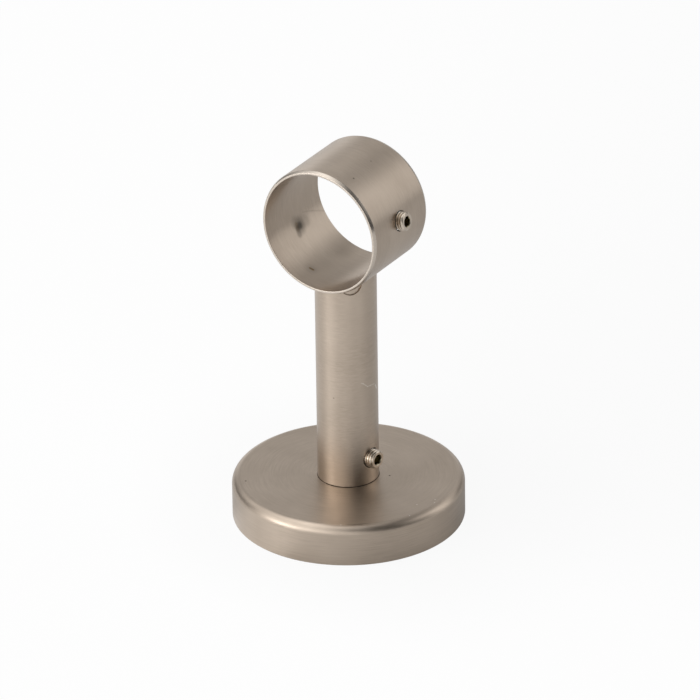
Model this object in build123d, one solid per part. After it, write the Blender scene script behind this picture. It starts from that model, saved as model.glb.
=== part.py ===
from build123d import *
from math import cos, radians, sin, sqrt, tan
import os

# Ceiling bracket for a curtain pole: a rose over a fixing plate, a stem and a ring, all in millimetres.
# The origin is the centre of the rose's open face, which lies on the ceiling. +Z runs from the ceiling
# to the ring, and the pole lies along Y.

# Rose, a cup drawn from sheet
rose_diameter = 60.5
rose_height = 10.9
rose_sheet = 1.0
rose_edge_radius = 2.25
rose_rim_chamfer = 0.2

# Stem, a tube that stands on the rose
stem_diameter = 16.0
stem_wall = 2.0
stem_foot_chamfer = 0.2

# Ring, a tube across the stem's head, with its axis this far from the ceiling. The cutter's wheel has
# rolled the outer edges in, further along the wall than across the end
ring_height = 85.5
ring_bore = 32.0
ring_wall = 1.0
ring_length = 25.4
ring_roll_across = 0.4
ring_roll_along = 0.9
ring_bore_chamfer = 0.15

# Relief, a shallow half-round recess in the stem's wall where its coped edge meets the ring. Its turn is
# counted round the stem, from the ring's end at -Y towards +X
relief_radius = 3.0
relief_depth = 0.35
relief_turn = 41.5

# Fixing plate, a disc inside the rose
plate_diameter = 52.0
plate_thickness = 3.0
plate_chamfer = 0.4
fixing_count = 3
fixing_circle = 38.0
fixing_hole = 4.5
fixing_countersink = 9.0

# Spigot, a turned stud that carries the stem
spigot_foot_diameter = 20.0
spigot_reach = 16.0
spigot_chamfer = 1.0
spigot_groove_depth = 0.8
spigot_thread_depth = 8.0
drill_point_angle = 118.0

# Countersunk screw that holds the spigot to the plate
spigot_screw_diameter = 5.0
spigot_screw_length = 10.0
spigot_screw_head = 9.3
spigot_screw_socket = 3.0
spigot_screw_socket_depth = 1.6
spigot_screw_chamfer = 0.5
countersink_angle = 90.0

# Grub screws with a hex socket and a cup point. Each turn is in degrees from +X: the stem's screw
# turns in plan, and the ring's screw rises round the ring
grub_diameter = 5.0
grub_socket = 2.5
grub_socket_depth = 1.6
grub_chamfer = 0.4
grub_tip_chamfer = 0.75
grub_cup_diameter = 2.5
grub_cup_angle = 120.0
stem_grub_length = 5.0
stem_grub_height = 7.15
stem_grub_turn = -8.0
ring_grub_length = 3.0
ring_grub_turn = 8.0

# Clearances, each on one side
spigot_clearance = 0.1
rose_hole_clearance = 0.3
rose_seat_clearance = 0.1
groove_side_clearance = 0.75
thread_clearance = 0.05
screw_head_sink = 0.2

# Sizes that follow from those above
stem_radius = stem_diameter / 2
ring_radius = ring_bore / 2 + ring_wall
spigot_radius = stem_radius - stem_wall - spigot_clearance
grub_hole_radius = grub_diameter / 2 + thread_clearance
stem_grub_z = rose_height + stem_grub_height
stem_grub_tip = spigot_radius - spigot_groove_depth

ON_FACE = (Align.CENTER, Align.CENTER, Align.MIN)


def stem_grub_plane(distance=0.0):
    """Plane across the stem's grub screw, this far from the stem's axis, with Z outwards."""
    turn = radians(stem_grub_turn)
    outward = Vector(cos(turn), sin(turn), 0)
    return Plane(origin=Vector(0, 0, stem_grub_z) + outward * distance, x_dir=(0, 0, 1), z_dir=outward)


def ring_grub_plane(distance=0.0):
    """Plane across the ring's grub screw, this far from the pole's axis, with Z outwards."""
    turn = radians(ring_grub_turn)
    outward = Vector(cos(turn), 0, sin(turn))
    upward = Vector(-sin(turn), 0, cos(turn))
    return Plane(origin=Vector(0, 0, ring_height) + outward * distance, x_dir=upward, z_dir=outward)


def make_rose_cover():
    """Drawn cup with a rounded edge, open at the ceiling, and a hole for the spigot."""
    with BuildPart() as cover:
        Cylinder(rose_diameter / 2, rose_height, align=ON_FACE)
        fillet(cover.edges().sort_by(Axis.Z)[-1], rose_edge_radius)
        offset(amount=-rose_sheet, openings=cover.faces().sort_by(Axis.Z)[0])
        Hole(spigot_radius + rose_hole_clearance)
        rim = cover.edges().group_by(Axis.Z)[0].sort_by(SortBy.RADIUS)[-1]
        chamfer(rim, rose_rim_chamfer)
    return cover.part


def make_mounting_plate():
    """Disc with countersunk ceiling holes on the rose's side and the spigot screw's seat underneath."""
    sink_spread = screw_head_sink * tan(radians(countersink_angle / 2))
    seat_radius = spigot_screw_head / 2 + sink_spread
    hole_radius = spigot_screw_diameter / 2 + thread_clearance
    with BuildPart() as plate:
        Cylinder(plate_diameter / 2, plate_thickness, align=ON_FACE)
        chamfer(plate.edges().sort_by(Axis.Z)[-1], plate_chamfer)
        with Locations((0, 0, plate_thickness)):
            with PolarLocations(fixing_circle / 2, fixing_count, start_angle=90):
                CounterSinkHole(fixing_hole / 2, fixing_countersink / 2)
        with Locations(Plane.XY.rotated((180, 0, 0))):
            CounterSinkHole(hole_radius, seat_radius, counter_sink_angle=countersink_angle)
    return plate.part


def make_spigot():
    """Turned stud: a broad foot on the plate, a post with a groove for the grub screw, tapped below."""
    foot_top = rose_height - rose_sheet - rose_seat_clearance
    post_top = rose_height + spigot_reach
    groove_half = grub_diameter / 2 + groove_side_clearance
    groove_radius = spigot_radius - spigot_groove_depth
    outline = [
        (0, plate_thickness),
        (spigot_foot_diameter / 2, plate_thickness),
        (spigot_foot_diameter / 2, foot_top),
        (spigot_radius, foot_top),
        (spigot_radius, stem_grub_z - groove_half - spigot_groove_depth),
        (groove_radius, stem_grub_z - groove_half),
        (groove_radius, stem_grub_z + groove_half),
        (spigot_radius, stem_grub_z + groove_half + spigot_groove_depth),
        (spigot_radius, post_top - spigot_chamfer),
        (spigot_radius - spigot_chamfer, post_top),
        (0, post_top),
    ]
    thread_radius = spigot_screw_diameter / 2 + thread_clearance
    thread_end = plate_thickness + spigot_thread_depth
    drill_point = thread_radius / tan(radians(drill_point_angle / 2))
    with BuildPart() as spigot:
        with BuildSketch(Plane.XZ):
            with BuildLine():
                Polyline(*outline, close=True)
            make_face()
        revolve(axis=Axis.Z)
        with Locations((0, 0, plate_thickness)):
            Cylinder(thread_radius, spigot_thread_depth, align=ON_FACE, mode=Mode.SUBTRACT)
        with Locations((0, 0, thread_end)):
            Cone(thread_radius, 0, drill_point, align=ON_FACE, mode=Mode.SUBTRACT)
    return spigot.part


def make_spigot_screw():
    """Countersunk screw with a hex socket, sunk a little into the plate's ceiling face."""
    shank_radius = spigot_screw_diameter / 2
    head_radius = spigot_screw_head / 2
    head_height = (head_radius - shank_radius) / tan(radians(countersink_angle / 2))
    with BuildPart() as screw:
        with Locations((0, 0, screw_head_sink)):
            Cone(head_radius, shank_radius, head_height, align=ON_FACE)
            Cylinder(shank_radius, spigot_screw_length, align=ON_FACE)
        chamfer(screw.edges().sort_by(Axis.Z)[-1], spigot_screw_chamfer)
        with BuildSketch(Plane.XY.offset(screw_head_sink)):
            RegularPolygon(spigot_screw_socket / 2, 6, major_radius=False)
        extrude(amount=spigot_screw_socket_depth, mode=Mode.SUBTRACT)
    return screw.part


def make_stem_tube():
    """Tube from the rose's face to the ring, coped to the ring, with its relief and tapped hole."""
    bore_radius = stem_radius - stem_wall
    turn = radians(relief_turn)
    relief_outward = Vector(sin(turn), -cos(turn), 0)
    seam_z = ring_height - sqrt(ring_radius**2 - (stem_radius * sin(turn)) ** 2)
    with BuildPart() as relief:
        with Locations(Plane(origin=(0, 0, seam_z), z_dir=relief_outward)):
            Cylinder(relief_radius, stem_diameter, align=ON_FACE)
        Cylinder(stem_radius - relief_depth, ring_height, align=ON_FACE, mode=Mode.SUBTRACT)
    with BuildPart() as stem:
        with Locations((0, 0, rose_height)):
            Cylinder(stem_radius, ring_height - rose_height, align=ON_FACE)
        chamfer(stem.edges().sort_by(Axis.Z)[0], stem_foot_chamfer)
        with Locations((0, 0, rose_height)):
            Cylinder(bore_radius, ring_height - rose_height, align=ON_FACE, mode=Mode.SUBTRACT)
        with Locations((0, 0, ring_height)):
            Cylinder(ring_radius, 2 * stem_diameter, rotation=(90, 0, 0), mode=Mode.SUBTRACT)
        add(relief.part, mode=Mode.SUBTRACT)
        with Locations(stem_grub_plane()):
            Cylinder(grub_hole_radius, stem_diameter, align=ON_FACE, mode=Mode.SUBTRACT)
    return stem.part


def make_pole_ring():
    """Short thin tube along Y, with rolled outer edges, a broken bore and a tapped hole."""
    with BuildPart() as ring:
        with Locations((0, 0, ring_height)):
            Cylinder(ring_radius, ring_length, rotation=(90, 0, 0))
            Cylinder(ring_bore / 2, ring_length, rotation=(90, 0, 0), mode=Mode.SUBTRACT)
        for end in (0, -1):
            end_face = ring.faces().filter_by(GeomType.PLANE).sort_by(Axis.Y)[end]
            outer_edge = end_face.edges().sort_by(SortBy.RADIUS)[-1]
            chamfer(outer_edge, ring_roll_across, ring_roll_along, reference=end_face)
        chamfer(ring.edges().filter_by(GeomType.CIRCLE).group_by(SortBy.RADIUS)[0], ring_bore_chamfer)
        with Locations(ring_grub_plane()):
            Cylinder(grub_hole_radius, 2 * ring_radius, align=ON_FACE, mode=Mode.SUBTRACT)
    return ring.part


def make_grub_screw(tip_plane, length):
    """Grub screw with its cup point on the plane and its hex socket at the far end."""
    radius = grub_diameter / 2
    cup_radius = grub_cup_diameter / 2
    cup_depth = cup_radius / tan(radians(grub_cup_angle / 2))
    socket_end = length - grub_socket_depth
    with BuildPart() as screw:
        Cylinder(radius, length, align=ON_FACE)
        chamfer(screw.edges().sort_by(Axis.Z)[0], grub_tip_chamfer)
        chamfer(screw.edges().sort_by(Axis.Z)[-1], grub_chamfer)
        Cone(cup_radius, 0, cup_depth, align=ON_FACE, mode=Mode.SUBTRACT)
        with BuildSketch(Plane.XY.offset(socket_end)):
            RegularPolygon(grub_socket / 2, 6, major_radius=False)
        extrude(amount=grub_socket_depth, mode=Mode.SUBTRACT)
    return tip_plane.location * screw.part


sub_parts = {
    "rose_cover": make_rose_cover(),
    "mounting_plate": make_mounting_plate(),
    "spigot": make_spigot(),
    "spigot_screw": make_spigot_screw(),
    "stem_tube": make_stem_tube(),
    "stem_grub_screw": make_grub_screw(stem_grub_plane(stem_grub_tip), stem_grub_length),
    "pole_ring": make_pole_ring(),
    "ring_grub_screw": make_grub_screw(ring_grub_plane(ring_bore / 2), ring_grub_length),
}

os.makedirs("parts", exist_ok=True)
for name, shape in sub_parts.items():
    export_step(shape, f"parts/{name}.step")
    print(name, "volume", round(shape.volume, 1), "mm3")
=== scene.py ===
# %% [markdown]
# # A ceiling bracket for a curtain pole, in satin nickel
#
# The real object is a drawn cup (the rose), a tube that stands on it (the stem), a short wide tube across
# the top (the ring) and two grub screws with hex sockets. This lesson dresses the measured CAD model for a
# picture: it keeps every size and place, and adds the finish, the screw threads and the marks of handling.
# The CAD model is loaded first, because all that follows takes its sizes from it.

# %% Load the measured frame
from math import ceil, cos, pi, radians, sin

import bmesh
import bpy
from mathutils import Matrix, Vector


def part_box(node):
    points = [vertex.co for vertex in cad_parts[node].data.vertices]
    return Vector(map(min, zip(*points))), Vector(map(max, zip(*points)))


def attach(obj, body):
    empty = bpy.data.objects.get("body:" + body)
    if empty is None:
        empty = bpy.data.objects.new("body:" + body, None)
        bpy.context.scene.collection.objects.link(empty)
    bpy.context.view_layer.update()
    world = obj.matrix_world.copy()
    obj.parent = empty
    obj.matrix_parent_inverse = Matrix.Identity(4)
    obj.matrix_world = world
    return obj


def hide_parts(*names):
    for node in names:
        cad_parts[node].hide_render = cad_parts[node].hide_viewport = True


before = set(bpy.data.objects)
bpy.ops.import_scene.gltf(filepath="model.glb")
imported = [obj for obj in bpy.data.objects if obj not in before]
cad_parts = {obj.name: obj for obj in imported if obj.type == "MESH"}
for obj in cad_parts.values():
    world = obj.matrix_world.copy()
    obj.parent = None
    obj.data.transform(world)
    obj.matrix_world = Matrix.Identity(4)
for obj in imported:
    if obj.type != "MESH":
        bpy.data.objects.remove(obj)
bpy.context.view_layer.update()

print("CAD nodes:", ", ".join(sorted(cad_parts)))

# %% [markdown]
# ## Sizes
#
# The boxes of the CAD nodes give most sizes, so the pieces made here follow the CAD model when it changes.
# The rest are the few that a box can't tell, such as a wall or a rounded edge. Lengths are in millimetres,
# because that is how a bracket is drawn, and MM turns them into Blender's metres.

# %% Read the sizes
MM = 0.001


def box_mm(node):
    """Lowest and highest corner of a CAD node, in millimetres."""
    low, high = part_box(node)
    return Vector(low) / MM, Vector(high) / MM


_, rose_high = box_mm("rose_cover")
_, stem_high = box_mm("stem_tube")
ring_low, ring_high = box_mm("pole_ring")

rose_radius = rose_high.x
rose_height = rose_high.z
rose_sheet = 1.0
rose_edge_radius = 2.25
rose_rim_radius = 0.2
rose_hole_radius = 6.2

stem_radius = stem_high.x
stem_wall = 2.0
stem_foot_radius = 0.2

ring_radius = (ring_high.z - ring_low.z) / 2
ring_height = (ring_high.z + ring_low.z) / 2
ring_length = ring_high.y - ring_low.y
ring_wall = 1.0
ring_roll_across = 0.4
ring_roll_along = 0.9
ring_roll_radius = 0.12
ring_bore_edge = 0.15

relief_radius = 3.0
relief_depth = 0.35
relief_turn = -48.5

thread_radius = 2.5
thread_pitch = 0.8
tapped_radius = 2.55
stem_screw_turn = -8.0
ring_screw_turn = 8.0
stem_screw_length = 5.0
ring_screw_length = 3.0
stem_screw_tip = 5.1
ring_screw_tip = ring_radius - ring_wall
stem_screw_height = rose_height + 7.15

print("stem radius", round(stem_radius, 2), "and ring radius", round(ring_radius, 2))
print("the ring's axis is at a height of", round(ring_height, 2))

# %% [markdown]
# ## Where each piece stands
#
# A turned piece is easiest to shape upright, round Z, and is then carried to its place. A placement is the
# matrix that does this. The ring lies on its side, so its placement tips Z over to -Y, towards the camera.
# A screw's Z points out of the hole, and its X points up, so that a turn is counted the same way on both.

# %% Placements
upright = Matrix.Identity(4)
lying = Matrix.Translation((0, 0, ring_height)) @ Matrix.Rotation(radians(90), 4, "X")


def screw_placement(centre, outward, up):
    """Stands a screw's tip on centre, with its Z outwards and its X up."""
    side = outward.cross(up)
    turn = Matrix((up, side, outward)).transposed().to_4x4()
    return Matrix.Translation(centre) @ turn


stem_turn = radians(stem_screw_turn)
stem_outward = Vector((cos(stem_turn), sin(stem_turn), 0))
stem_screw_place = screw_placement(
    Vector((0, 0, stem_screw_height)) + stem_outward * stem_screw_tip, stem_outward, Vector((0, 0, 1))
)
ring_turn = radians(ring_screw_turn)
ring_outward = Vector((cos(ring_turn), 0, sin(ring_turn)))
ring_screw_place = screw_placement(
    Vector((0, 0, ring_height)) + ring_outward * ring_screw_tip,
    ring_outward,
    Vector((-sin(ring_turn), 0, cos(ring_turn))),
)
print("ring screw starts at", [round(value, 2) for value in ring_screw_place.translation])

# %% [markdown]
# ## The camera
#
# The picture was taken from far away with a long lens, so that the bracket's uprights stay nearly parallel.
# The camera turns round a point between rose and ring: azimuth is counted from -Y towards +X, elevation
# from the horizon, and a small roll makes up for a camera that wasn't quite level.

# %% Set up the camera
focal_length = 411.43
sensor_width = 36
farthest_seen = 20
aim = Vector((-0.65, 2.65, 45.4)) * MM
camera_distance = 2062.4 * MM
camera_azimuth = radians(32.26)
camera_elevation = radians(26.96)
camera_roll = radians(-0.81)

towards_camera = Vector((
    sin(camera_azimuth) * cos(camera_elevation),
    -cos(camera_azimuth) * cos(camera_elevation),
    sin(camera_elevation),
))
lens = bpy.data.cameras.new("camera")
lens.lens = focal_length
lens.sensor_width = sensor_width
lens.clip_end = farthest_seen
camera = bpy.data.objects.new("camera", lens)
camera.location = aim + towards_camera * camera_distance
looking = towards_camera.to_track_quat("Z", "Y").to_matrix()
camera.rotation_euler = (looking @ Matrix.Rotation(camera_roll, 3, "Z")).to_euler()
bpy.context.scene.collection.objects.link(camera)
bpy.context.scene.camera = camera
bpy.context.scene.view_settings.view_transform = "Standard"
print("camera at", [round(value, 4) for value in camera.location])

# %% [markdown]
# ## Writing materials in code
#
# A material is a tree of nodes, and the same few lines make every tree here. `add` makes a node and fills
# its sockets: a socket given as a value is linked, and anything else is set on it. `calc` and `vector_calc`
# do the same for the two arithmetic nodes, whose sockets have no names of their own, and the small helpers
# after them name the steps that come back most often.

# %% Helpers for node trees
def fill(tree, socket, value):
    """Links a socket to another, or sets its value."""
    if isinstance(value, bpy.types.NodeSocket):
        tree.links.new(value, socket)
    else:
        socket.default_value = value


def add(tree, kind, settings=None, **sockets):
    """Adds a shader node with its settings, and fills the sockets that are named."""
    made = tree.nodes.new("ShaderNode" + kind)
    for name, value in (settings or {}).items():
        setattr(made, name, value)
    for name, value in sockets.items():
        fill(tree, made.inputs[name.replace("_", " ")], value)
    return made


def calc(tree, operation, *values, clamp=False):
    """One step of arithmetic on numbers."""
    made = tree.nodes.new("ShaderNodeMath")
    made.operation = operation
    made.use_clamp = clamp
    for socket, value in zip(made.inputs, values):
        fill(tree, socket, value)
    return made.outputs[0]


def vector_calc(tree, operation, *values):
    """One step of arithmetic on vectors. A length comes out of the second socket."""
    made = tree.nodes.new("ShaderNodeVectorMath")
    made.operation = operation
    for socket, value in zip(made.inputs, values):
        fill(tree, socket, value)
    return made.outputs[1 if operation in ("LENGTH", "DISTANCE", "DOT_PRODUCT") else 0]


def scaled(tree, vector, factor):
    """A vector made longer or shorter by a factor."""
    made = tree.nodes.new("ShaderNodeVectorMath")
    made.operation = "SCALE"
    fill(tree, made.inputs[0], vector)
    fill(tree, made.inputs["Scale"], factor)
    return made.outputs[0]


def height_of(tree, position):
    """How far a point lies along its piece's axis, Z."""
    return add(tree, "SeparateXYZ", Vector=position).outputs["Z"]


def across_axis(tree, position):
    """The part of a position that lies across the piece's axis."""
    parts = add(tree, "SeparateXYZ", Vector=position)
    return add(tree, "CombineXYZ", X=parts.outputs["X"], Y=parts.outputs["Y"], Z=0.0).outputs[0]


def from_axis(tree, position):
    """Distance from a piece's own axis."""
    return vector_calc(tree, "LENGTH", across_axis(tree, position))


def blend_colour(tree, share, under, over):
    """Lays one colour over another by a share from 0 to 1."""
    made = tree.nodes.new("ShaderNodeMix")
    made.data_type = "RGBA"
    for socket, value in zip((made.inputs[0], made.inputs[6], made.inputs[7]), (share, under, over)):
        fill(tree, socket, value)
    return made.outputs[2]


def ease(tree, value, start, end, low=0.0, high=1.0):
    """Goes smoothly from low to high as value goes from start to end."""
    made = tree.nodes.new("ShaderNodeMapRange")
    made.interpolation_type = "SMOOTHSTEP"
    names = ("Value", "From Min", "From Max", "To Min", "To Max")
    for name, given in zip(names, (value, start, end, low, high)):
        fill(tree, made.inputs[name], given)
    return made.outputs[0]


def new_material(name):
    """A material with only its output, and the tree to build it in."""
    material = bpy.data.materials.new(name)
    material.use_nodes = True
    tree = material.node_tree
    tree.nodes.clear()
    return material, tree


def finish_material(tree, shader):
    """Joins the shader to the material's output."""
    output = tree.nodes.new("ShaderNodeOutputMaterial")
    tree.links.new(shader, output.inputs["Surface"])


def new_group(name, inputs, outputs):
    """An empty node group with those sockets, and the nodes at its two ends."""
    group = bpy.data.node_groups.new(name, "ShaderNodeTree")
    for title, kind in inputs.items():
        group.interface.new_socket(name=title, in_out="INPUT", socket_type="NodeSocket" + kind)
    for title, kind in outputs.items():
        group.interface.new_socket(name=title, in_out="OUTPUT", socket_type="NodeSocket" + kind)
    start = group.nodes.new("NodeGroupInput")
    end = group.nodes.new("NodeGroupOutput")
    return group, start, end


def use_group(tree, group, **sockets):
    """Places a node group in a tree and fills its sockets."""
    made = tree.nodes.new("ShaderNodeGroup")
    made.node_tree = group
    for name, value in sockets.items():
        fill(tree, made.inputs[name.replace("_", " ")], value)
    return made


# %% [markdown]
# ## The floor
#
# Bare metal has hardly a look of its own: it shows what stands round it. The studio is therefore part of the
# finish. The floor is a white sheet whose colour is painted darker near the bracket and behind it, and a
# little
# brighter in front: painted shade and light that stand for its shadow. The upright walls mirror that. The
# camera sees it nearly white, through Is Camera Ray, with a trace of the bracket's real and painted shadow
# left. Metal sees a part of that white too, and most of it along a path in front. That path is a painted
# glow that only metal sees, and it puts a painted highlight on the stem. A lamp that lit such a path would
# light the bracket as well.

# %% Floor sheet
floor_size = 8.0
floor_squares = 8
floor_drop = 0.02

floor_mesh = bmesh.new()
bmesh.ops.create_grid(floor_mesh, x_segments=floor_squares, y_segments=floor_squares,
                      size=floor_size / 2)
bmesh.ops.translate(floor_mesh, vec=(0, 0, -floor_drop * MM), verts=floor_mesh.verts)
floor_data = bpy.data.meshes.new("floor")
floor_mesh.to_mesh(floor_data)
floor_mesh.free()
floor = bpy.data.objects.new("floor", floor_data)
bpy.context.scene.collection.objects.link(floor)
print("floor is", floor_size, "m wide and lies", floor_drop, "mm under the bracket")

# %% Floor material
black = (0, 0, 0, 1)
white = (1, 1, 1, 1)
floor_colour = (0.93, 0.93, 0.93, 1)
white_for_camera = 0.93
white_for_metal = 0.2
# Painted glow: along a path in front, the floor glows this white for metal only.
painted_glow_on_path = 0.95
path_edge = cos(radians(34))
path_core = cos(radians(6))
shade_start = 25 * MM
shade_end = 85 * MM
front_turn = radians(-30)
towards_front = Vector((sin(front_turn), -cos(front_turn), 0))

floor_material, tree = new_material("pale_floor")
floor_place = add(tree, "TexCoord").outputs["Object"]
in_front = vector_calc(tree, "DOT_PRODUCT", vector_calc(tree, "NORMALIZE", floor_place), towards_front)
# Painted light and shade: the floor's colour is made darker behind the bracket and near it, and brighter in
# front, where its shadow and the front light would fall.
painted_floor_shading = calc(tree, "ADD", ease(tree, in_front, -1.05, -0.3, 0.58, 0.95), ease(tree, in_front, 0, 1, 0, 0.3))
distance = vector_calc(tree, "LENGTH", floor_place)
painted_floor_shading = calc(tree, "MULTIPLY", painted_floor_shading, ease(tree, distance, shade_start, shade_end, 0.55, 1.0), clamp=True)
matt = add(tree, "BsdfDiffuse", Color=blend_colour(tree, painted_floor_shading, black, floor_colour))
glow = add(tree, "Emission", Color=white, Strength=1.0)
ray = add(tree, "LightPath").outputs
by_metal = calc(tree, "ADD", ray["Is Glossy Ray"], ray["Is Transmission Ray"], clamp=True)
# Painted glow: for metal only, the floor glows brighter along a path in front, which puts a painted
# highlight on the stem.
painted_path_glow = ease(tree, in_front, path_edge, path_core, white_for_metal, painted_glow_on_path)
by_metal = calc(tree, "MULTIPLY", by_metal, painted_path_glow)
white_share = calc(tree, "MULTIPLY_ADD", ray["Is Camera Ray"], white_for_camera, by_metal)
floor_shader = add(tree, "MixShader", Fac=white_share)
tree.links.new(matt.outputs[0], floor_shader.inputs[1])
tree.links.new(glow.outputs[0], floor_shader.inputs[2])
finish_material(tree, floor_shader.outputs[0])
floor_data.materials.append(floor_material)
print("floor material has", len(tree.nodes), "nodes")

# %% [markdown]
# ## The sky
#
# Real product studios hang large soft cards of light round the object. Area lamps could stand for them, but
# cards in the sky are simpler: each is a direction, a width and a strength, and fades out with the angle
# from its middle. Here they are a wide wall and a small lamp in front, a row of large cards high up, and
# weak ones round the sides and the back, so that the metal has something to mirror from every side. The
# camera itself sees plain white.

# %% Sky
dark_sky = 0.02

# Azimuth from -Y, elevation and width in degrees, and strength
sky_cards = {
    "front wall low, left": (-50, 6, 20, 1.3),
    "front wall low, middle": (-15, 6, 20, 1.25),
    "front lamp": (-33, 3, 12, 5.5),
    "front wall low, right": (10, 6, 20, 1.25),
    "front wall low, right end": (38, 6, 17, 1.0),
    "front wall high, left": (-50, 32, 20, 1.0),
    "front wall high, middle": (-20, 32, 20, 0.95),
    "front wall high, right": (10, 32, 20, 0.6),
    "high reflector": (-120, 64, 20, 1.45),
    "high softbox": (-60, 64, 20, 1.15),
    "high reflector, right": (0, 64, 20, 0.66),
    "overhead": (0, 90, 18, 0.63),
    "left wall": (-105, 34, 17, 0.64),
    "left wall, front": (-85, 34, 17, 0.34),
    "left wall low": (-135, 8, 17, 1.06),
    "back wall left": (-162, 34, 17, 0.4),
    "back wall left and low": (-165, 8, 17, 0.57),
    "back wall": (168, 34, 17, 0.6),
    "back wall right": (138, 34, 17, 1.14),
    "back wall right and low": (135, 8, 17, 1.17),
    "right wall": (108, 34, 17, 0.6),
}

sky = bpy.data.worlds.new("studio")
bpy.context.scene.world = sky
sky.use_nodes = True
tree = sky.node_tree
tree.nodes.clear()
direction = add(tree, "TexCoord").outputs["Generated"]
brightness = dark_sky
for azimuth, elevation, width, strength in sky_cards.values():
    around, up = radians(azimuth), radians(elevation)
    middle = Vector((sin(around) * cos(up), -cos(around) * cos(up), sin(up)))
    nearness = calc(tree, "SUBTRACT", vector_calc(tree, "DOT_PRODUCT", direction, middle), 1.0)
    falloff = calc(tree, "EXPONENT", calc(tree, "MULTIPLY", nearness, 2 / radians(width) ** 2))
    brightness = calc(tree, "MULTIPLY_ADD", falloff, strength, brightness)
seen = add(tree, "LightPath").outputs["Is Camera Ray"]
brightness = calc(tree, "ADD", calc(tree, "MULTIPLY", brightness, calc(tree, "SUBTRACT", 1.0, seen)), seen)
sky_light = add(tree, "Background", Color=white, Strength=brightness)
sky_output = tree.nodes.new("ShaderNodeOutputWorld")
tree.links.new(sky_light.outputs[0], sky_output.inputs["Surface"])
print("the sky is made of", len(sky_cards), "soft cards")

# %% [markdown]
# ## Shared effects
#
# Four effects come back on several finishes, so each is a node group. `brushed grain` draws the fine lines
# that a belt or a lathe leaves round a turned piece: noise is squeezed along the axis and stretched round
# it. An image of brushed metal would need unwrapped pieces, and its lines would end at the seams.

# %% Node group for brushed grain
def make_brushed_grain():
    """Fine lines round Z. Position is in millimetres, with the axis of the piece on Z."""
    group, start, end = new_group(
        "brushed grain",
        {"Position": "Vector", "Lines": "Float", "Length": "Float", "Patches": "Float"},
        {"Tone": "Float", "Height": "Float"},
    )
    position = start.outputs["Position"]
    around = vector_calc(group, "NORMALIZE", across_axis(group, position))
    spread = scaled(group, around, start.outputs["Length"])
    across = calc(group, "ADD", from_axis(group, position), height_of(group, position))
    line_height = calc(group, "MULTIPLY", across, start.outputs["Lines"])
    lift = add(group, "CombineXYZ", X=0.0, Y=0.0, Z=line_height).outputs[0]
    stretched = vector_calc(group, "ADD", spread, lift)
    lines = add(group, "TexNoise", Vector=stretched, Scale=1.0, Detail=4.0, Roughness=0.6).outputs[0]
    patches = add(group, "TexNoise", Vector=position, Scale=start.outputs["Patches"], Detail=1.0).outputs[0]
    share = ease(group, patches, 0.35, 0.65, 0.35, 1.0)
    height = calc(group, "MULTIPLY", calc(group, "SUBTRACT", lines, 0.5), share)
    group.links.new(calc(group, "ADD", height, 0.5), end.inputs["Tone"])
    group.links.new(height, end.inputs["Height"])
    return group


brushed_grain = make_brushed_grain()
print("made node group", brushed_grain.name)


# %% [markdown]
# ## Marks and painted joint shade
#
# `spot` is a soft mark at a point, and `stroke` is one along a short straight line. The third group is a
# dark
# line painted into a joint: painted shade that stands for the shadow in the crevice. Each gives a mask from
# 0 to
# 1, worked out from distances in millimetres, so a mark stays where it was measured however the piece is cut
# into faces.

# %% Node groups for marks
def make_spot():
    """1 at the centre of a mark, and 0 from its radius outwards."""
    group, start, end = new_group(
        "spot", {"Position": "Vector", "Centre": "Vector", "Radius": "Float"}, {"Mask": "Float"}
    )
    away = vector_calc(group, "DISTANCE", start.outputs["Position"], start.outputs["Centre"])
    share = calc(group, "DIVIDE", away, start.outputs["Radius"])
    group.links.new(ease(group, share, 0.25, 1.0, 1.0, 0.0), end.inputs["Mask"])
    return group


def make_stroke():
    """1 on the line between two points, and 0 from its width outwards."""
    group, start, end = new_group(
        "stroke",
        {"Position": "Vector", "From": "Vector", "To": "Vector", "Width": "Float"},
        {"Mask": "Float"},
    )
    run = vector_calc(group, "SUBTRACT", start.outputs["To"], start.outputs["From"])
    away = vector_calc(group, "SUBTRACT", start.outputs["Position"], start.outputs["From"])
    reach = vector_calc(group, "DOT_PRODUCT", away, run)
    along = calc(group, "DIVIDE", reach, vector_calc(group, "DOT_PRODUCT", run, run), clamp=True)
    gap = vector_calc(group, "DISTANCE", away, scaled(group, run, along))
    share = calc(group, "DIVIDE", gap, start.outputs["Width"])
    group.links.new(ease(group, share, 0.3, 1.0, 1.0, 0.0), end.inputs["Mask"])
    return group


def make_joint_shade_line():
    """1 in the corner of a joint, fading to 0 at its width, and broken up a little."""
    # Painted shade: this mask darkens the corner of a joint, where its shadow would fall.
    group, start, end = new_group(
        "joint shade line", {"Position": "Vector", "Distance": "Float", "Width": "Float"}, {"Mask": "Float"}
    )
    share = calc(group, "DIVIDE", start.outputs["Distance"], start.outputs["Width"])
    broken = add(group, "TexNoise", Vector=start.outputs["Position"], Scale=0.8, Detail=2.0).outputs[0]
    uneven = calc(group, "ADD", share, ease(group, broken, 0.3, 0.7, 0.0, 0.35))
    group.links.new(ease(group, uneven, 0.5, 1.1, 1.0, 0.0), end.inputs["Mask"])
    return group


spot = make_spot()
stroke = make_stroke()
joint_shade_line = make_joint_shade_line()
print("made node groups", spot.name, "and", stroke.name, "and", joint_shade_line.name)

# %% [markdown]
# ## Places on a piece
#
# A mark is easiest to place on the piece as it stood on the lathe: a turn in degrees, a radius and a height.
# The materials read Object coordinates, which are the bracket's own metres, and a Mapping node carries them
# back to the upright piece in millimetres. The same placement gives the direction round the piece.

# %% Helpers for places
def polar(turn, radius, height):
    """A point on a turned piece: degrees from X, radius and height, in its own millimetres."""
    return Vector((radius * cos(radians(turn)), radius * sin(radians(turn)), height))


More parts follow.
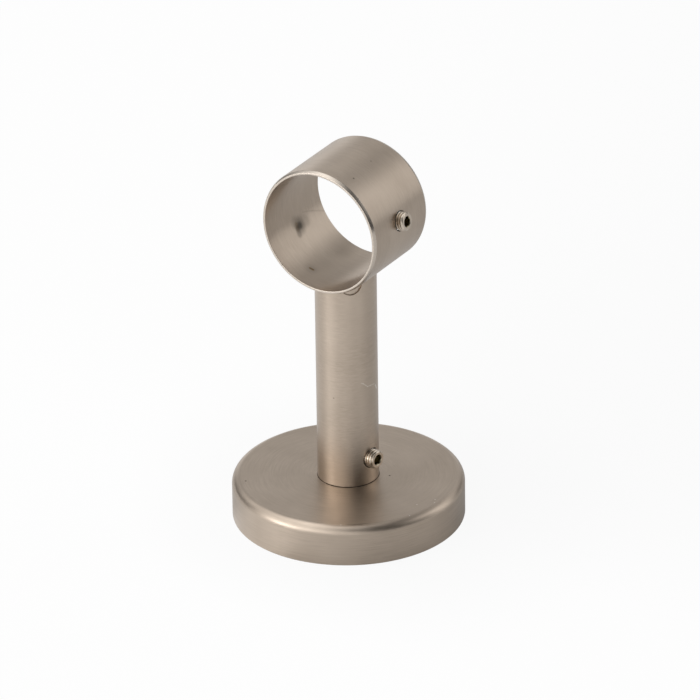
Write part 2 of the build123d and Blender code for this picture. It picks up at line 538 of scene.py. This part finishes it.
def own_position(tree, placement):
    """Where a point lies on its own piece, in millimetres, with the piece's axis on Z."""
    place = add(tree, "TexCoord").outputs["Object"]
    back = add(tree, "Mapping", {"vector_type": "TEXTURE"}, Vector=place)
    back.inputs["Location"].default_value = placement.translation * MM
    back.inputs["Rotation"].default_value = placement.to_euler()
    back.inputs["Scale"].default_value = (MM, MM, MM)
    return back.outputs[0]


def round_tangent(tree, placement):
    """The direction round the piece's axis, for the shader's anisotropy."""
    place = add(tree, "TexCoord").outputs["Object"]
    arm = vector_calc(tree, "SUBTRACT", place, placement.translation * MM)
    axis = placement.to_3x3() @ Vector((0, 0, 1))
    return vector_calc(tree, "NORMALIZE", vector_calc(tree, "CROSS_PRODUCT", axis, arm))


# %% [markdown]
# ## Satin nickel
#
# The bright parts are steel, brushed round and round and then plated with nickel. Under the plating the
# brush lines stay, so a highlight spreads across the lines and stays narrow along them. The shader's
# anisotropy does that. Its tangent runs round the piece, and a quarter turn sets the spread across the
# lines. Fine noise along the same lines moves colour, roughness and height a little, so that the highlight
# breaks up as on the real tube.

# %% Brushed and plated steel
nickel_colour = (0.55, 0.464, 0.383, 1)
nickel_shade = (0.425, 0.352, 0.284, 1)
nickel_bright = (0.54, 0.478, 0.415, 1)
fine_lines = {"Lines": 9.0, "Length": 5.0, "Patches": 0.22}
long_streaks = {"Lines": 2.8, "Length": 3.5, "Patches": 0.12}
line_share = 0.4
streak_share = 0.4
cloud_share = 0.3
end_face_start = 0.06
end_face_full = 0.02


def brushed_colour(tree, position, grain):
    """The plating's colour: fine lines, longer streaks and a faint cloud, from shade to pale."""
    cloud = add(tree, "TexNoise", Vector=position, Scale=0.09, Detail=3.0).outputs[0]
    streaks = use_group(tree, brushed_grain, Position=position, **long_streaks)
    cloudy = calc(tree, "MULTIPLY", cloud, cloud_share)
    shade = calc(tree, "MULTIPLY_ADD", grain.outputs["Tone"], line_share, cloudy)
    shade = calc(tree, "MULTIPLY_ADD", streaks.outputs["Tone"], streak_share, shade)
    return blend_colour(tree, ease(tree, shade, 0.35, 0.75), nickel_shade, nickel_colour)


def satin_nickel(name, placement, marks, areas=(), bright_ends=None, anisotropic=0.66, smoothest=0.24):
    """Brushed and plated steel. Marks are functions that give a mask, a colour and a change of roughness,
    and areas are pairs of a mask function and a change of roughness. The ends of a tube, at bright_ends from
    its middle, are cut finer, and their lines run straight across."""
    material, tree = new_material(name)
    position = own_position(tree, placement)
    grain = use_group(tree, brushed_grain, Position=position, **fine_lines)
    colour = brushed_colour(tree, position, grain)
    rough = calc(tree, "MULTIPLY_ADD", grain.outputs["Tone"], 0.14, smoothest)
    tangent = round_tangent(tree, placement)
    for inside, change in areas:
        rough = calc(tree, "MULTIPLY_ADD", inside(tree, position), change, rough)
    if bright_ends is not None:
        height = calc(tree, "ABSOLUTE", height_of(tree, position))
        end_face = ease(tree, height, bright_ends - end_face_start, bright_ends - end_face_full)
        colour = blend_colour(tree, end_face, colour, nickel_bright)
        rough = calc(tree, "MULTIPLY_ADD", end_face, 0.04, rough)
        to_straight = vector_calc(tree, "SUBTRACT", Vector((1, 0, 0)), tangent)
        turned = vector_calc(tree, "ADD", tangent, scaled(tree, to_straight, end_face))
        tangent = vector_calc(tree, "NORMALIZE", turned)
    for mark in marks:
        mask, mark_colour, mark_rough = mark(tree, position)
        colour = blend_colour(tree, mask, colour, mark_colour)
        rough = calc(tree, "MULTIPLY_ADD", mask, mark_rough, rough)
    bump = add(tree, "Bump", Height=grain.outputs["Height"], Strength=0.16, Distance=0.02 * MM)
    shader = add(
        tree, "BsdfPrincipled", Base_Color=colour, Metallic=1.0, Roughness=rough, Anisotropic=anisotropic,
        Anisotropic_Rotation=0.25, Normal=bump.outputs[0], Tangent=tangent,
    )
    finish_material(tree, shader.outputs[0])
    return material


# %% [markdown]
# ## Laying marks on a finish
#
# A mark function is made with its place, size and colour, and is called later by the material, once the tree
# exists. That keeps every list of marks below short: one line for each mark that the real piece has.

# %% Marks
# Painted shade: this near-black colour, laid in the joints, stands for the shadow there.
joint_shade_colour = (0.035, 0.032, 0.024, 1)
dark_speck = (0.06, 0.05, 0.04, 1)
pale_speck = (0.9, 0.88, 0.84, 1)
# The soot and rust colours also paint the grub screw's reflection in the ring's bore.
soot_and_painted_reflection = (0.05, 0.05, 0.045, 1)
rust_and_painted_reflection = (0.22, 0.14, 0.055, 1)
smear = (0.3, 0.25, 0.2, 1)
lint = (0.85, 0.82, 0.77, 1)


def spot_mark(centre, radius, colour, strength=1.0):
    """A soft round mark."""
    def lay(tree, position):
        mask = use_group(tree, spot, Position=position, Centre=centre, Radius=radius).outputs[0]
        return calc(tree, "MULTIPLY", mask, strength), colour, 0.2
    return lay


def stroke_mark(start, end, width, colour, strength=1.0, rough=0.2):
    """A thin straight mark."""
    def lay(tree, position):
        mask = use_group(tree, stroke, Position=position, From=start, To=end, Width=width).outputs[0]
        return calc(tree, "MULTIPLY", mask, strength), colour, rough
    return lay


def area_mark(inside, colour):
    """A part of the piece with a colour of its own."""
    def lay(tree, position):
        return inside(tree, position), colour, 0.0
    return lay


def joint_shade_mark(distance, width, strength=1.0):
    """Painted shade in a joint: a dark line where its shadow falls. Distance is a function that gives how
    far a point lies from it.
    """
    def lay(tree, position):
        away = distance(tree, position)
        mask = use_group(tree, joint_shade_line, Position=position, Distance=away, Width=width).outputs[0]
        return calc(tree, "MULTIPLY", mask, strength), joint_shade_colour, 0.3
    return lay


# %% [markdown]
# ## Where the joints are
#
# A dark line of painted shade is laid where two pieces meet: at the stem's foot, along the coped seam and
# round the screws. Each joint is a plane, a cylinder or a circle, so a short formula gives the distance from
# it at every point.

# %% Distances from the joints
def above_foot(tree, position):
    """Height over the rose's face."""
    return calc(tree, "SUBTRACT", height_of(tree, position), rose_height)


def from_stem(tree, position):
    """Distance out from the stem's wall, on the rose's face."""
    return calc(tree, "SUBTRACT", from_axis(tree, position), stem_radius)


def from_ring(tree, position):
    """Distance out from the ring's wall, on the stem."""
    return calc(tree, "SUBTRACT", from_axis(tree, own_position(tree, lying)), ring_radius)


def from_screw(placement):
    """Distance out from a tapped hole's edge, on the screw's own side of the piece."""
    def measure(tree, position):
        screw_position = own_position(tree, placement)
        out = calc(tree, "SUBTRACT", from_axis(tree, screw_position), tapped_radius)
        behind = calc(tree, "MULTIPLY", height_of(tree, screw_position), -1.0)
        return calc(tree, "MAXIMUM", out, calc(tree, "SUBTRACT", behind, stem_wall))
    return measure


# %% [markdown]
# ## Where the finish is smoother or duller
#
# The tools that rolled the ring's outer edges and pressed the rose's edge changed the surface there. These
# masks follow the shapes of the sections, so they stay on those edges when a size changes.

# %% Masks for worked edges
def on_rolled_edge(tree, position):
    """1 on the ring's rolled outer edges, and 0 on its wall, its bore and its end faces."""
    height = calc(tree, "ABSOLUTE", height_of(tree, position))
    half = ring_length / 2
    roll_start = half - ring_roll_along
    past_wall = ease(tree, height, roll_start - 0.03, roll_start + 0.05)
    before_face = ease(tree, height, half - end_face_start, half - end_face_full, 1.0, 0.0)
    bore = ring_radius - ring_wall
    outside = ease(tree, from_axis(tree, position), bore + 0.2, bore + 0.3)
    return calc(tree, "MULTIPLY", calc(tree, "MULTIPLY", past_wall, before_face), outside)


def on_pressed_edge(tree, position):
    """1 on the rose's rounded edge, which the press tool has left a little duller."""
    edge_height = rose_height - rose_edge_radius
    edge_start = rose_radius - rose_edge_radius
    over_side = ease(tree, height_of(tree, position), edge_height - 0.2, edge_height + 0.2)
    past_face = ease(tree, from_axis(tree, position), edge_start - 0.3, edge_start + 0.3)
    return calc(tree, "MULTIPLY", over_side, past_face)


# %% [markdown]
# ## Modelling turned pieces
#
# Rose, stem and ring are all turned shapes. A few corner points give the section, a full spin carries them
# round Z, and the circles that the corners leave are rounded with a bevel, as the real edges are. Holes are
# cut last with a Boolean, as on the bench: the piece is finished first and drilled afterwards. A Weighted
# Normal modifier keeps the flat faces flat beside their rounded edges.

# %% Helpers for meshes
round_steps = 256
hole_steps = 96
same_place = 0.001
weld_distance = 0.0001
sharp_angle = radians(30)


def spin_section(section, steps=round_steps):
    """Spins a closed section of (radius, height) corners round Z."""
    bm = bmesh.new()
    corners = [bm.verts.new((radius * MM, 0, height * MM)) for radius, height in section]
    sides = [bm.edges.new(pair) for pair in zip(corners, corners[1:] + corners[:1])]
    bmesh.ops.spin(bm, geom=corners + sides, cent=(0, 0, 0), axis=(0, 0, 1), angle=2 * pi, steps=steps,
                   use_merge=True)
    bmesh.ops.remove_doubles(bm, verts=bm.verts, dist=weld_distance * MM)
    bmesh.ops.recalc_face_normals(bm, faces=bm.faces)
    return bm


def on_circle(vert, radius, height):
    """True for a vertex of the circle with that radius and height."""
    sideways = abs(vert.co.xy.length - radius * MM)
    return max(sideways, abs(vert.co.z - height * MM)) < same_place * MM


def round_circle(bm, radius, height, edge_radius, segments):
    """Rounds the circular edge with that radius and height."""
    edges = [edge for edge in bm.edges if all(on_circle(vert, radius, height) for vert in edge.verts)]
    bmesh.ops.bevel(bm, geom=edges, offset=edge_radius * MM, offset_type="OFFSET", segments=segments,
                    profile=0.5, affect="EDGES", material=-1)


def make_object(name, bm, placement=None):
    """Turns a bmesh into an object at the origin, with its place in its mesh."""
    if placement is not None:
        in_metres = placement.copy()
        in_metres.translation = placement.translation * MM
        bmesh.ops.transform(bm, matrix=in_metres, verts=bm.verts)
    mesh = bpy.data.meshes.new(name)
    bm.to_mesh(mesh)
    bm.free()
    made = bpy.data.objects.new(name, mesh)
    bpy.context.scene.collection.objects.link(made)
    return made


def cut(piece, tool):
    """Takes the tool's shape out of the piece, and removes the tool."""
    boolean = piece.modifiers.new("cut", "BOOLEAN")
    boolean.operation = "DIFFERENCE"
    boolean.solver = "EXACT"
    boolean.object = tool
    depsgraph = bpy.context.evaluated_depsgraph_get()
    result = bpy.data.meshes.new_from_object(piece.evaluated_get(depsgraph))
    piece.modifiers.clear()
    piece.data = result
    bpy.data.objects.remove(tool)


def cone_tool(name, sides, radius1, radius2, height, placement):
    """A cutting tool with flat ends: a prism, a cylinder or a cone that runs along the placement's Z."""
    bm = bmesh.new()
    bmesh.ops.create_cone(bm, cap_ends=True, segments=sides, radius1=radius1 * MM, radius2=radius2 * MM,
                          depth=height * MM)
    bmesh.ops.translate(bm, vec=(0, 0, height * MM / 2), verts=bm.verts)
    return make_object(name, bm, placement)


def drill(radius, length, placement, steps=hole_steps):
    """A round cutting tool that starts at the placement's origin."""
    return cone_tool("drill", steps, radius, radius, length, placement)


def dress(piece, material, node):
    """Gives a finished piece its material, smooth faces and body, and hides the CAD node that it stands for.
    """
    piece.data.materials.clear()
    piece.data.materials.append(material)
    for face in piece.data.polygons:
        face.use_smooth = True
        face.material_index = 0
    piece.data.set_sharp_from_angle(angle=sharp_angle)
    weighted = piece.modifiers.new("flat faces stay flat", "WEIGHTED_NORMAL")
    weighted.keep_sharp = True
    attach(piece, "root")
    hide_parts(node)
    print(piece.name, "has", len(piece.data.polygons), "faces and stands for", node)


# %% [markdown]
# ## The rose
#
# A cup pressed from 1 mm sheet: a flat face, a rounded edge that follows the press tool, and a short
# straight side down to the ceiling. The section is drawn as one closed loop, so the inside is there too.
# The face is rubbed even by handling, so it has a finish of its own that hardly follows the brush lines.

# %% Model the rose
inner_radius = rose_radius - rose_sheet
inner_height = rose_height - rose_sheet
rose_mesh = spin_section([
    (rose_hole_radius, rose_height),
    (rose_radius, rose_height),
    (rose_radius, 0),
    (inner_radius, 0),
    (inner_radius, inner_height),
    (rose_hole_radius, inner_height),
])
round_circle(rose_mesh, rose_radius, rose_height, rose_edge_radius, 12)
round_circle(rose_mesh, inner_radius, inner_height, rose_edge_radius - rose_sheet, 8)
round_circle(rose_mesh, rose_radius, 0, rose_rim_radius, 3)
rose = make_object("rose", rose_mesh)


# %% Finish the rose
def on_face(turn, radius):
    """A place on the rose's face."""
    return polar(turn, radius, rose_height)


rose_marks = [
    spot_mark(on_face(-140.1, 26.87), 0.35, dark_speck),
    spot_mark(on_face(23.2, 10.81), 0.35, dark_speck),
    spot_mark(on_face(-13.3, 25.04), 0.22, pale_speck),
    spot_mark(on_face(-5.1, 27.79), 0.2, pale_speck),
    spot_mark(on_face(-2.2, 26.98), 0.22, pale_speck),
    spot_mark(on_face(-24.5, 28.42), 0.2, pale_speck),
    spot_mark(on_face(-62, 28.44), 0.18, pale_speck),
]
rose_side_finish = satin_nickel("satin_nickel_rose", upright, rose_marks, [(on_pressed_edge, 0.03)])
# The rose's face gets a painted shade round the stem's foot.
rose_face_finish = satin_nickel(
    "satin_nickel_rose_face", upright, rose_marks + [joint_shade_mark(from_stem, 0.2, 0.8)],
    anisotropic=0.1, smoothest=0.31,
)
dress(rose, rose_side_finish, "rose_cover")
rose.data.materials.append(rose_face_finish)
facing_up = 0.999
just_under_face = (rose_height - 0.01) * MM
for face in rose.data.polygons:
    if face.normal.z > facing_up and face.center.z > just_under_face:
        face.material_index = 1
print(sum(face.material_index for face in rose.data.polygons), "of them have the face's own finish")

# %% [markdown]
# ## The ring
#
# A short piece of thin tube, parted with a cutter's wheel. The wheel has rolled the outer edges in and left
# them smooth, so they mirror the studio as a dark or golden band beside the brushed wall. The end faces are
# finer than the wall and shine brighter. The tapped hole is drilled along the placement of its screw.

# %% Model the ring
half_length = ring_length / 2
ring_bore_radius = ring_radius - ring_wall
roll_start = half_length - ring_roll_along
face_radius = ring_radius - ring_roll_across
ring_mesh = spin_section([
    (ring_bore_radius, -half_length),
    (face_radius, -half_length),
    (ring_radius, -roll_start),
    (ring_radius, roll_start),
    (face_radius, half_length),
    (ring_bore_radius, half_length),
])
for side in (-1, 1):
    round_circle(ring_mesh, ring_radius, side * roll_start, ring_roll_radius, 3)
    round_circle(ring_mesh, face_radius, side * half_length, ring_roll_radius, 3)
    round_circle(ring_mesh, ring_bore_radius, side * half_length, ring_bore_edge, 4)
ring = make_object("ring", ring_mesh, lying)
drill_run_up = 2
drill_reach = 8
ring_hole_start = ring_screw_place @ Matrix.Translation((0, 0, -drill_run_up))
cut(ring, drill(tapped_radius, drill_reach, ring_hole_start))


# %% Finish the ring
def in_bore(turn, height):
    """A place in the ring's bore."""
    return polar(turn, ring_bore_radius, height)


def on_wall(turn, height):
    """A place on the ring's outside."""
    return polar(turn, ring_radius, height)


def on_end(turn, radius):
    """A place on the ring's front end face."""
    return polar(turn, radius, half_length)


ring_marks = [
    area_mark(on_rolled_edge, nickel_bright),
    # Painted reflection: this dark soft spot and its brown streaks lie across the bore from the ring's
    # screw. They stand for the screw's reflection in the bore, laid on in the soot and rust colours.
    spot_mark(in_bore(206.6, -1.04), 3.0, soot_and_painted_reflection, 0.4),
    spot_mark(in_bore(206.2, -1.04), 1.4, soot_and_painted_reflection, 0.55),
    stroke_mark(in_bore(201.5, 0.3), in_bore(205.5, -4.0), 2.4, soot_and_painted_reflection, 0.22),
    stroke_mark(in_bore(203.5, 0.1), in_bore(208.5, 0.29), 0.9, rust_and_painted_reflection, 0.25),
    stroke_mark(in_bore(208, 0.2), in_bore(213, 0.6), 1.3, soot_and_painted_reflection, 0.3),
    spot_mark(in_bore(245.5, 5.87), 2.6, soot_and_painted_reflection, 0.12),
    stroke_mark(in_bore(244.4, 5.95), in_bore(247.4, 5.77), 0.5, rust_and_painted_reflection, 0.75),
    stroke_mark(in_bore(197.2, -4.01), in_bore(201.4, -7.84), 0.3, soot_and_painted_reflection, 0.12),
    stroke_mark(in_bore(201.4, -7.84), in_bore(208.2, -12.4), 0.3, soot_and_painted_reflection, 0.12),
    spot_mark(in_bore(252.5, -7.98), 3.6, smear, 0.18),
    spot_mark(on_wall(63.6, 7.47), 0.35, dark_speck, 0.8),
    spot_mark(on_wall(67.4, -2.53), 0.3, dark_speck, 0.6),
    stroke_mark(on_end(62.8, 17), on_end(60, 16.84), 0.2, pale_speck, 0.8),
    spot_mark(on_end(63.7, 16.88), 0.2, dark_speck, 0.9),
    spot_mark(polar(61.9, 16.95, half_length - 0.5), 0.2, dark_speck, 0.8),
    spot_mark(on_end(238.6, 16.2), 0.22, pale_speck, 0.6),
    # Painted shade round the ring's tapped hole.
    joint_shade_mark(from_screw(ring_screw_place), 0.3),
]
ring_finish = satin_nickel(
    "satin_nickel_ring", lying, ring_marks, [(on_rolled_edge, -0.05)], bright_ends=half_length
)
dress(ring, ring_finish, "pole_ring")

# %% [markdown]
# ## The stem
#
# A thicker tube whose head is coped: it is cut with a cylinder of the ring's own radius, so that the ring
# sits in it without a gap. Where the seam was dressed, the wall has a shallow half-round relief. Its tool is
# a drill that points out of the stem at the seam, less a core that leaves the wall's inner part standing.

# %% Model the stem
stem_bore_radius = stem_radius - stem_wall
stem_mesh = spin_section([
    (stem_bore_radius, rose_height),
    (stem_radius, rose_height),
    (stem_radius, ring_height),
    (stem_bore_radius, ring_height),
])
round_circle(stem_mesh, stem_radius, rose_height, stem_foot_radius, 4)
stem = make_object("stem", stem_mesh)

cope_start = lying @ Matrix.Translation((0, 0, -ring_length))
cut(stem, drill(ring_radius, 2 * ring_length, cope_start, round_steps))
seam_height = ring_height - (ring_radius**2 - (stem_radius * cos(radians(relief_turn))) ** 2) ** 0.5
relief_out = polar(relief_turn, 1, 0)
relief_place = screw_placement(Vector((0, 0, seam_height)), relief_out, Vector((0, 0, 1)))
relief_tool = drill(relief_radius, 2 * stem_radius, relief_place)
cut(relief_tool, drill(stem_radius - relief_depth, ring_height, upright, round_steps))
cut(stem, relief_tool)
cut(stem, drill(tapped_radius, stem_radius, stem_screw_place))
print("the relief meets the seam at a height of", round(seam_height, 2), "mm")


# %% Finish the stem
def on_stem(turn, height):
    """A place on the stem's wall."""
    return polar(turn, stem_radius, height)


lint_path = [
    on_stem(-29.8, 40.65), on_stem(-26.4, 40.4), on_stem(-16.9, 39.2), on_stem(-8.7, 39.15),
    on_stem(3.7, 38.9),
]
stem_marks = [
    stroke_mark(start, end, 0.2, lint, 0.35, 0.1) for start, end in zip(lint_path, lint_path[1:])
]
stem_marks += [
    stroke_mark(on_stem(7.3, 38.25), on_stem(13.1, 36.95), 0.3, lint, 0.6, 0.1),
    spot_mark(on_stem(-83.7, 36.54), 0.3, dark_speck, 0.5),
    # Painted shade at the stem's foot, along the seam under the ring and round the tapped hole.
    joint_shade_mark(above_foot, 0.25, 0.8),
    joint_shade_mark(from_ring, 0.22),
    joint_shade_mark(from_screw(stem_screw_place), 0.3),
]
dress(stem, satin_nickel("satin_nickel_stem", upright, stem_marks), "stem_tube")

# %% [markdown]
# ## The grub screws
#
# Headless M5 screws with a hex socket, plated bright. The thread is one pitch of its section, carried up a
# helix: a spin that rises by one pitch on each turn, so that every turn's lower edge meets the upper edge
# of the turn before. The ends are cut flat, the outer one is chamfered, and the socket and the cup point
# are cut out.

# %% Model a threaded screw
thread_steps = 64
thread_depth = 0.42
spare_turns = 3
crest_share = 0.26
root_share = 0.16
end_chamfer = 0.4
tip_chamfer = 0.75
socket_width = 2.5
socket_depth = 1.6
socket_mouth_depth = 0.28
cup_run_up = 0.1
cup_tool_radius = 1.4
cup_point_radius = 0.02
cup_tool_length = 0.72
level_gap = weld_distance * MM


def thread_section():
    """One pitch of the thread, from root to root, as (radius, height) points."""
    root = thread_radius - thread_depth
    flank = (1 - crest_share - root_share) / 2
    return [
        (root, 0),
        (root, root_share * thread_pitch),
        (root + 0.5 * thread_depth, (root_share + 0.5 * flank) * thread_pitch),
        (thread_radius, (root_share + flank) * thread_pitch),
        (thread_radius, (root_share + flank + crest_share) * thread_pitch),
        (root + 0.5 * thread_depth, (1 - 0.5 * flank) * thread_pitch),
        (root, thread_pitch),
    ]


def threaded_rod(length):
    """A closed rod with a right-hand thread, from z = 0 to its length, chamfered at both ends."""
    bm = bmesh.new()
    points = [bm.verts.new((radius * MM, 0, height * MM)) for radius, height in thread_section()]
    sides = [bm.edges.new(pair) for pair in zip(points, points[1:])]
    turns = ceil(length / thread_pitch) + spare_turns
    bmesh.ops.spin(bm, geom=points + sides, cent=(0, 0, 0), axis=(0, 0, 1), angle=2 * pi * turns,
                   steps=thread_steps * turns, dvec=(0, 0, thread_pitch * MM / thread_steps))
    bmesh.ops.remove_doubles(bm, verts=bm.verts, dist=same_place * MM)
    bmesh.ops.translate(bm, vec=(0, 0, -spare_turns / 2 * thread_pitch * MM), verts=bm.verts)
    for vert in bm.verts:
        below_end = length * MM - vert.co.z
        over_tip = vert.co.z
        limit = thread_radius * MM + min(below_end - end_chamfer * MM, over_tip - tip_chamfer * MM)
        radius = vert.co.xy.length
        if radius > limit > 0:
            vert.co.xy *= limit / radius
    for height, outward in ((length * MM, 1), (0, -1)):
        everything = list(bm.verts) + list(bm.edges) + list(bm.faces)
        bmesh.ops.bisect_plane(bm, geom=everything, plane_co=(0, 0, height), plane_no=(0, 0, outward),
                               clear_outer=True)
        open_edges = [edge for edge in bm.edges if edge.is_boundary]
        rim = [
            edge for edge in open_edges
            if all(abs(vert.co.z - height) < level_gap for vert in edge.verts)
        ]
        bmesh.ops.holes_fill(bm, edges=rim, sides=0)
    bmesh.ops.recalc_face_normals(bm, faces=bm.faces)
    return bm


def make_grub_screw(name, length, placement, socket_turn):
    """A threaded grub screw in its place, with its socket turned as in the picture."""
    screw = make_object(name, threaded_rod(length), placement)
    corner_radius = socket_width / 2 / cos(radians(30))
    socket_floor = placement @ Matrix.Translation((0, 0, length - socket_depth))
    socket_place = socket_floor @ Matrix.Rotation(radians(socket_turn), 4, "Z")
    cut(screw, cone_tool("socket", 6, corner_radius, corner_radius, socket_depth + 1, socket_place))
    mouth_place = placement @ Matrix.Translation((0, 0, length - socket_mouth_depth))
    cut(screw, cone_tool("mouth", 64, socket_width / 2, socket_width / 2 + 2 * socket_mouth_depth,
                         2 * socket_mouth_depth, mouth_place))
    cup_place = placement @ Matrix.Translation((0, 0, -cup_run_up))
    cut(screw, cone_tool("cup", 48, cup_tool_radius, cup_point_radius, cup_tool_length, cup_place))
    return screw


# %% [markdown]
# ## Bright nickel
#
# The screws are plated bright, over steel that was cut and not brushed. The thread's roots and the
# socket get a painted shade: the colour darkens by depth, read from the screw's own radius and height.

# %% Finish for the screws
crest_pale = (0.66, 0.585, 0.5, 1)
crest_dark = (0.53, 0.455, 0.375, 1)
root_shade = (0.1, 0.085, 0.05, 1)
socket_shade = (0.2, 0.165, 0.09, 1)


def bright_nickel(name, placement, length):
    """Smooth bright plating, with painted shade in the thread's roots and down the socket."""
    material, tree = new_material(name)
    position = own_position(tree, placement)
    grain = use_group(tree, brushed_grain, Position=position, Lines=6.0, Length=3.0, Patches=0.8)
    radius = from_axis(tree, position)
    height = height_of(tree, position)
    colour = blend_colour(tree, ease(tree, grain.outputs["Tone"], 0.3, 0.7), crest_dark, crest_pale)
    root = thread_radius - thread_depth
    # Painted shade: the thread's roots and the socket are darkened by depth.
    in_root = ease(tree, radius, root + 0.02, root + 0.2, 0.75, 0.0)
    below_face = ease(tree, height, length - 0.5, length - 0.3, 1.0, 0.0)
    colour = blend_colour(tree, calc(tree, "MULTIPLY", in_root, below_face), colour, root_shade)
    in_socket = ease(tree, radius, 1.5, 1.6, 1.0, 0.0)
    deep = ease(tree, height, length - 0.16, length - 0.02, 0.92, 0.0)
    colour = blend_colour(tree, calc(tree, "MULTIPLY", in_socket, deep), colour, socket_shade)
    rough = calc(tree, "MULTIPLY_ADD", grain.outputs["Tone"], 0.12, 0.24)
    bump = add(tree, "Bump", Height=grain.outputs["Height"], Strength=0.1, Distance=0.02 * MM)
    shader = add(tree, "BsdfPrincipled", Base_Color=colour, Metallic=1.0, Roughness=rough,
                 Normal=bump.outputs[0])
    finish_material(tree, shader.outputs[0])
    return material


# %% Put the screws in
screws = [
    ("ring_screw", "ring_grub_screw", ring_screw_length, ring_screw_place, -2.7),
    ("stem_screw", "stem_grub_screw", stem_screw_length, stem_screw_place, -5),
]
for name, node, length, placement, socket_turn in screws:
    screw = make_grub_screw(name, length, placement, socket_turn)
    dress(screw, bright_nickel("bright_nickel_" + name, placement, length), node)

# %% [markdown]
# ## Inside the rose
#
# The fixing plate, the spigot and its screw show only from below. They are zinc plated steel: greyer than
# nickel, a little cloudy, with the lines of the lathe on the turned parts. Their CAD meshes are detailed
# enough and stay as they are, with a material that has this finish.

# %% Zinc plated steel
zinc_pale = (0.62, 0.63, 0.62, 1)
zinc_dark = (0.5, 0.5, 0.49, 1)
zinc_stain = (0.42, 0.38, 0.3, 1)


def zinc_plate(name, lines):
    """Cloudy grey plating over turned or stamped steel."""
    material, tree = new_material(name)
    position = own_position(tree, upright)
    grain = use_group(tree, brushed_grain, Position=position, Lines=lines, Length=4.0, Patches=0.3)
    cloud = add(tree, "TexNoise", Vector=position, Scale=0.25, Detail=4.0).outputs[0]
    colour = blend_colour(tree, ease(tree, cloud, 0.35, 0.65), zinc_dark, zinc_pale)
    stain = add(tree, "TexNoise", Vector=position, Scale=0.6, Detail=2.0).outputs[0]
    colour = blend_colour(tree, ease(tree, stain, 0.6, 0.75, 0.0, 0.4), colour, zinc_stain)
    rough = calc(tree, "MULTIPLY_ADD", cloud, 0.2, 0.25)
    bump = add(tree, "Bump", Height=grain.outputs["Height"], Strength=0.3, Distance=0.03 * MM)
    shader = add(tree, "BsdfPrincipled", Base_Color=colour, Metallic=1.0, Roughness=rough,
                 Normal=bump.outputs[0])
    finish_material(tree, shader.outputs[0])
    return material


for node, lines in (("mounting_plate", 1.5), ("spigot", 5.0), ("spigot_screw", 5.0)):
    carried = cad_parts[node]
    carried.data.materials.clear()
    carried.data.materials.append(zinc_plate("zinc_" + node, lines))
    print(node, "keeps its CAD mesh of", len(carried.data.polygons), "faces")
